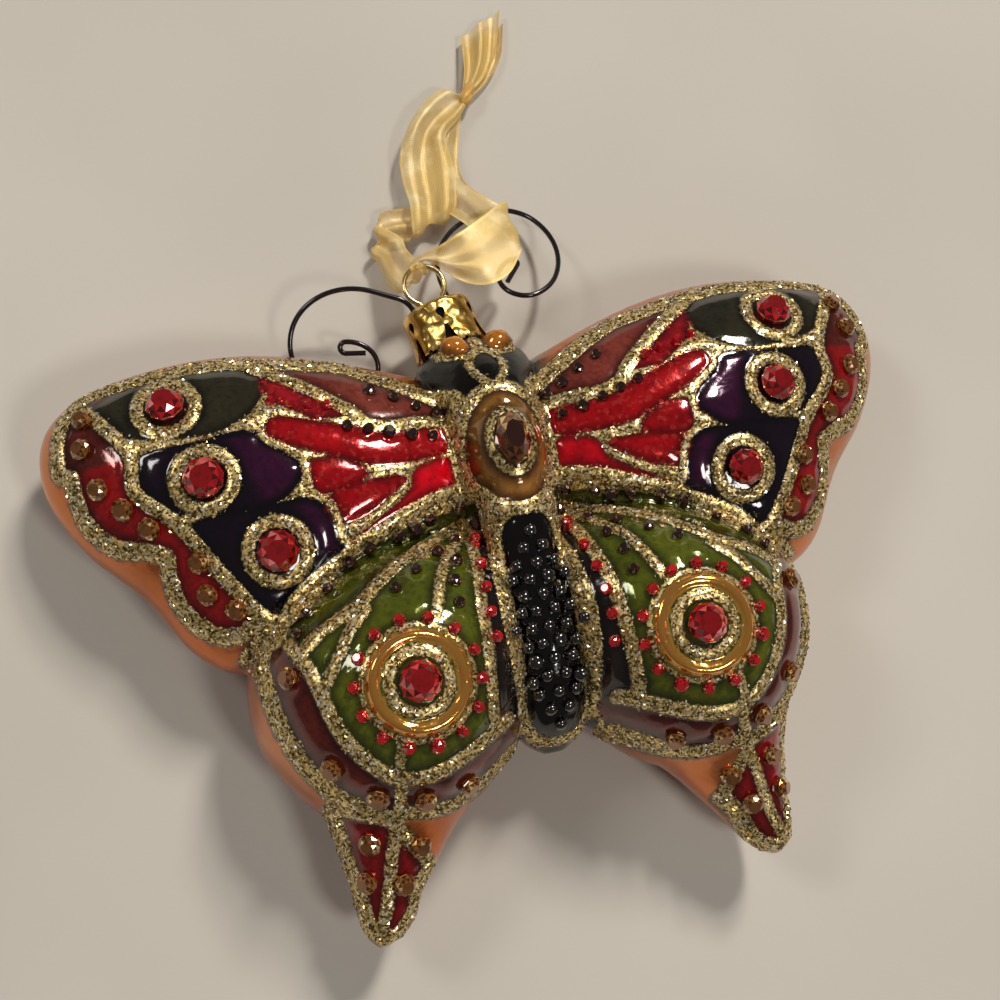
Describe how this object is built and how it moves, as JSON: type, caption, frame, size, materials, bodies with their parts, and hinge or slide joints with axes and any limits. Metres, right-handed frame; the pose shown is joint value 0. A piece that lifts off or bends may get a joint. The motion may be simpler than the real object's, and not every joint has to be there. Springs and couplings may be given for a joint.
{
  "type": "butterfly ornament",
  "caption": "Hollow blown-glass butterfly ornament with faceted stones, a brass petal cap with wire hanger, two curled wire feelers and a tied organza ribbon.",
  "frame": {"origin": "middle of the resting ornament's outline on the surface it lies on", "axes": "+Z out of the painted front, +Y towards the head and the ribbon, +X to the viewer's right"},
  "size_m": [0.127, 0.1424, 0.0338],
  "materials": {
    "painted_glass": "glossy lacquer",
    "gold_cap": "polished",
    "gold_wire": "polished",
    "black_wire": "gloss",
    "organza": "sheer",
    "red_crystal": "faceted",
    "amber_crystal": "faceted",
    "dark_crystal": "faceted",
    "black_crystal": "faceted"
  },
  "bodies": {
    "glass": {"glass_shell": "painted_glass", "thorax_navette": "amber_crystal", "abdomen_stones": "black_crystal", "left_rubies": "red_crystal", "right_rubies": "red_crystal", "left_amber_stones": "amber_crystal", "right_amber_stones": "amber_crystal", "left_ring_stones": "red_crystal", "right_ring_stones": "red_crystal", "left_strip_stones": "red_crystal", "right_strip_stones": "red_crystal", "left_tiny_stones": "red_crystal", "right_tiny_stones": "red_crystal", "left_dark_stones": "dark_crystal", "right_dark_stones": "dark_crystal"},
    "cap": {"ornament_cap": "gold_cap", "left_feeler": "black_wire", "right_feeler": "black_wire"},
    "hanger": {"hanger_wire": "gold_wire"},
    "ribbon": {"ribbon_loop": "organza", "ribbon_knot": "organza", "ribbon_tails": "organza"}
  },
  "joints": [
    {"name": "cap_pull", "type": "slide", "parent": "glass", "child": "cap", "axis": [-0.1908, 0.9816, 0], "range_m": [0, 0.022]},
    {"name": "hanger_lift", "type": "slide", "parent": "cap", "child": "hanger", "axis": [-0.1908, 0.9816, 0], "range_m": [0, 0.003]},
    {"name": "ribbon_swing", "type": "hinge", "parent": "hanger", "child": "ribbon", "pos_m": [-0.00471, 0.02491, 0.00996], "axis": [0.9816, 0.1908, 0], "range_deg": [0, 15]}
  ]
}
